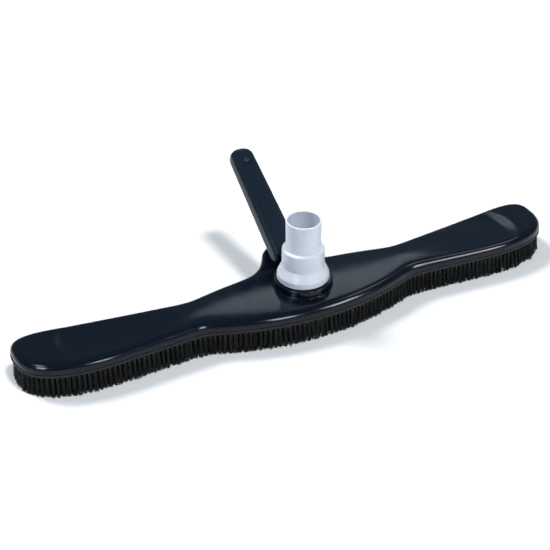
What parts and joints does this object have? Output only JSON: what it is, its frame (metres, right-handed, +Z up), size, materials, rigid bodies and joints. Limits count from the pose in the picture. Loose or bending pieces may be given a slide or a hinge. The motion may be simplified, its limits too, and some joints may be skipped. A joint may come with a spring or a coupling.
{
  "type": "pool wall brush",
  "caption": "Long pool wall brush and vacuum head: dark moulded body with a bristle skirt, swivelling stepped hose cuff and hinged pole handle.",
  "frame": {"origin": "centre of the whole object's footprint, on the surface that the bristle tips stand on", "axes": "+X along the brush, +Y to the rear where the pole handle is, +Z up out of the hose cuff"},
  "size_m": [0.5272, 0.1762, 0.1079],
  "materials": {
    "navy_gloss": "glossy injection-moulded navy black plastic",
    "grey_matte": "matte dark grey moulded plastic",
    "bristle": "black nylon or polypropylene filaments in stapled tufts",
    "white_pvc": "semi-gloss white moulded plastic",
    "white_acetal": "natural low-friction plastic washer",
    "black_acetal": "matte black low-friction plastic",
    "seal_rubber": "black rubber ring",
    "steel": "stainless steel"
  },
  "bodies": {
    "brush_head": {"body_shell": "navy_gloss", "bristle_plate": "grey_matte", "bristles_front_left_paddle": "bristle", "bristles_front_left_centre": "bristle", "bristles_front_right_centre": "bristle", "bristles_front_right_paddle": "bristle", "bristles_right_tip_front": "bristle", "bristles_right_tip_rear": "bristle", "bristles_rear_right_paddle": "bristle", "bristles_rear_right_centre": "bristle", "bristles_rear_left_centre": "bristle", "bristles_rear_left_paddle": "bristle", "bristles_left_tip_rear": "bristle", "bristles_left_tip_front": "bristle", "plate_screw_1": "steel", "plate_screw_2": "steel", "plate_screw_3": "steel", "plate_screw_4": "steel", "plate_screw_5": "steel", "plate_screw_6": "steel", "plate_screw_7": "steel", "plate_screw_8": "steel", "swivel_washer": "white_acetal", "pivot_bush_left": "black_acetal", "pivot_bush_right": "black_acetal"},
    "hose_cuff": {"hose_swivel": "white_pvc", "swivel_retaining_ring": "black_acetal", "swivel_seal": "seal_rubber"},
    "handle": {"pole_handle": "navy_gloss", "pivot_pin": "steel", "clip_spring": "steel"},
    "button_upper": {"clip_button_upper": "black_acetal"},
    "button_lower": {"clip_button_lower": "black_acetal"}
  },
  "joints": [
    {"name": "hose_swivel_turn", "type": "hinge", "parent": "brush_head", "child": "hose_cuff", "pos_m": [0, -0.04738, 0.06], "axis": [0, 0, 1], "continuous": true},
    {"name": "handle_pivot", "type": "hinge", "parent": "brush_head", "child": "handle", "pos_m": [0, -0.01038, 0.0468], "axis": [1, 0, 0], "range_deg": [-14, 58]},
    {"name": "upper_button_press", "type": "slide", "parent": "handle", "child": "button_upper", "axis": [0, 0.509, -0.8607], "range_m": [0, 0.002], "stiffness_N_per_m": 1500, "springref_m": -0.0015, "deforming": ["clip_spring"]},
    {"name": "lower_button_press", "type": "slide", "parent": "handle", "child": "button_lower", "axis": [0, -0.509, 0.8607], "range_m": [0, 0.002], "stiffness_N_per_m": 1500, "springref_m": -0.0015, "deforming": ["clip_spring"]}
  ]
}
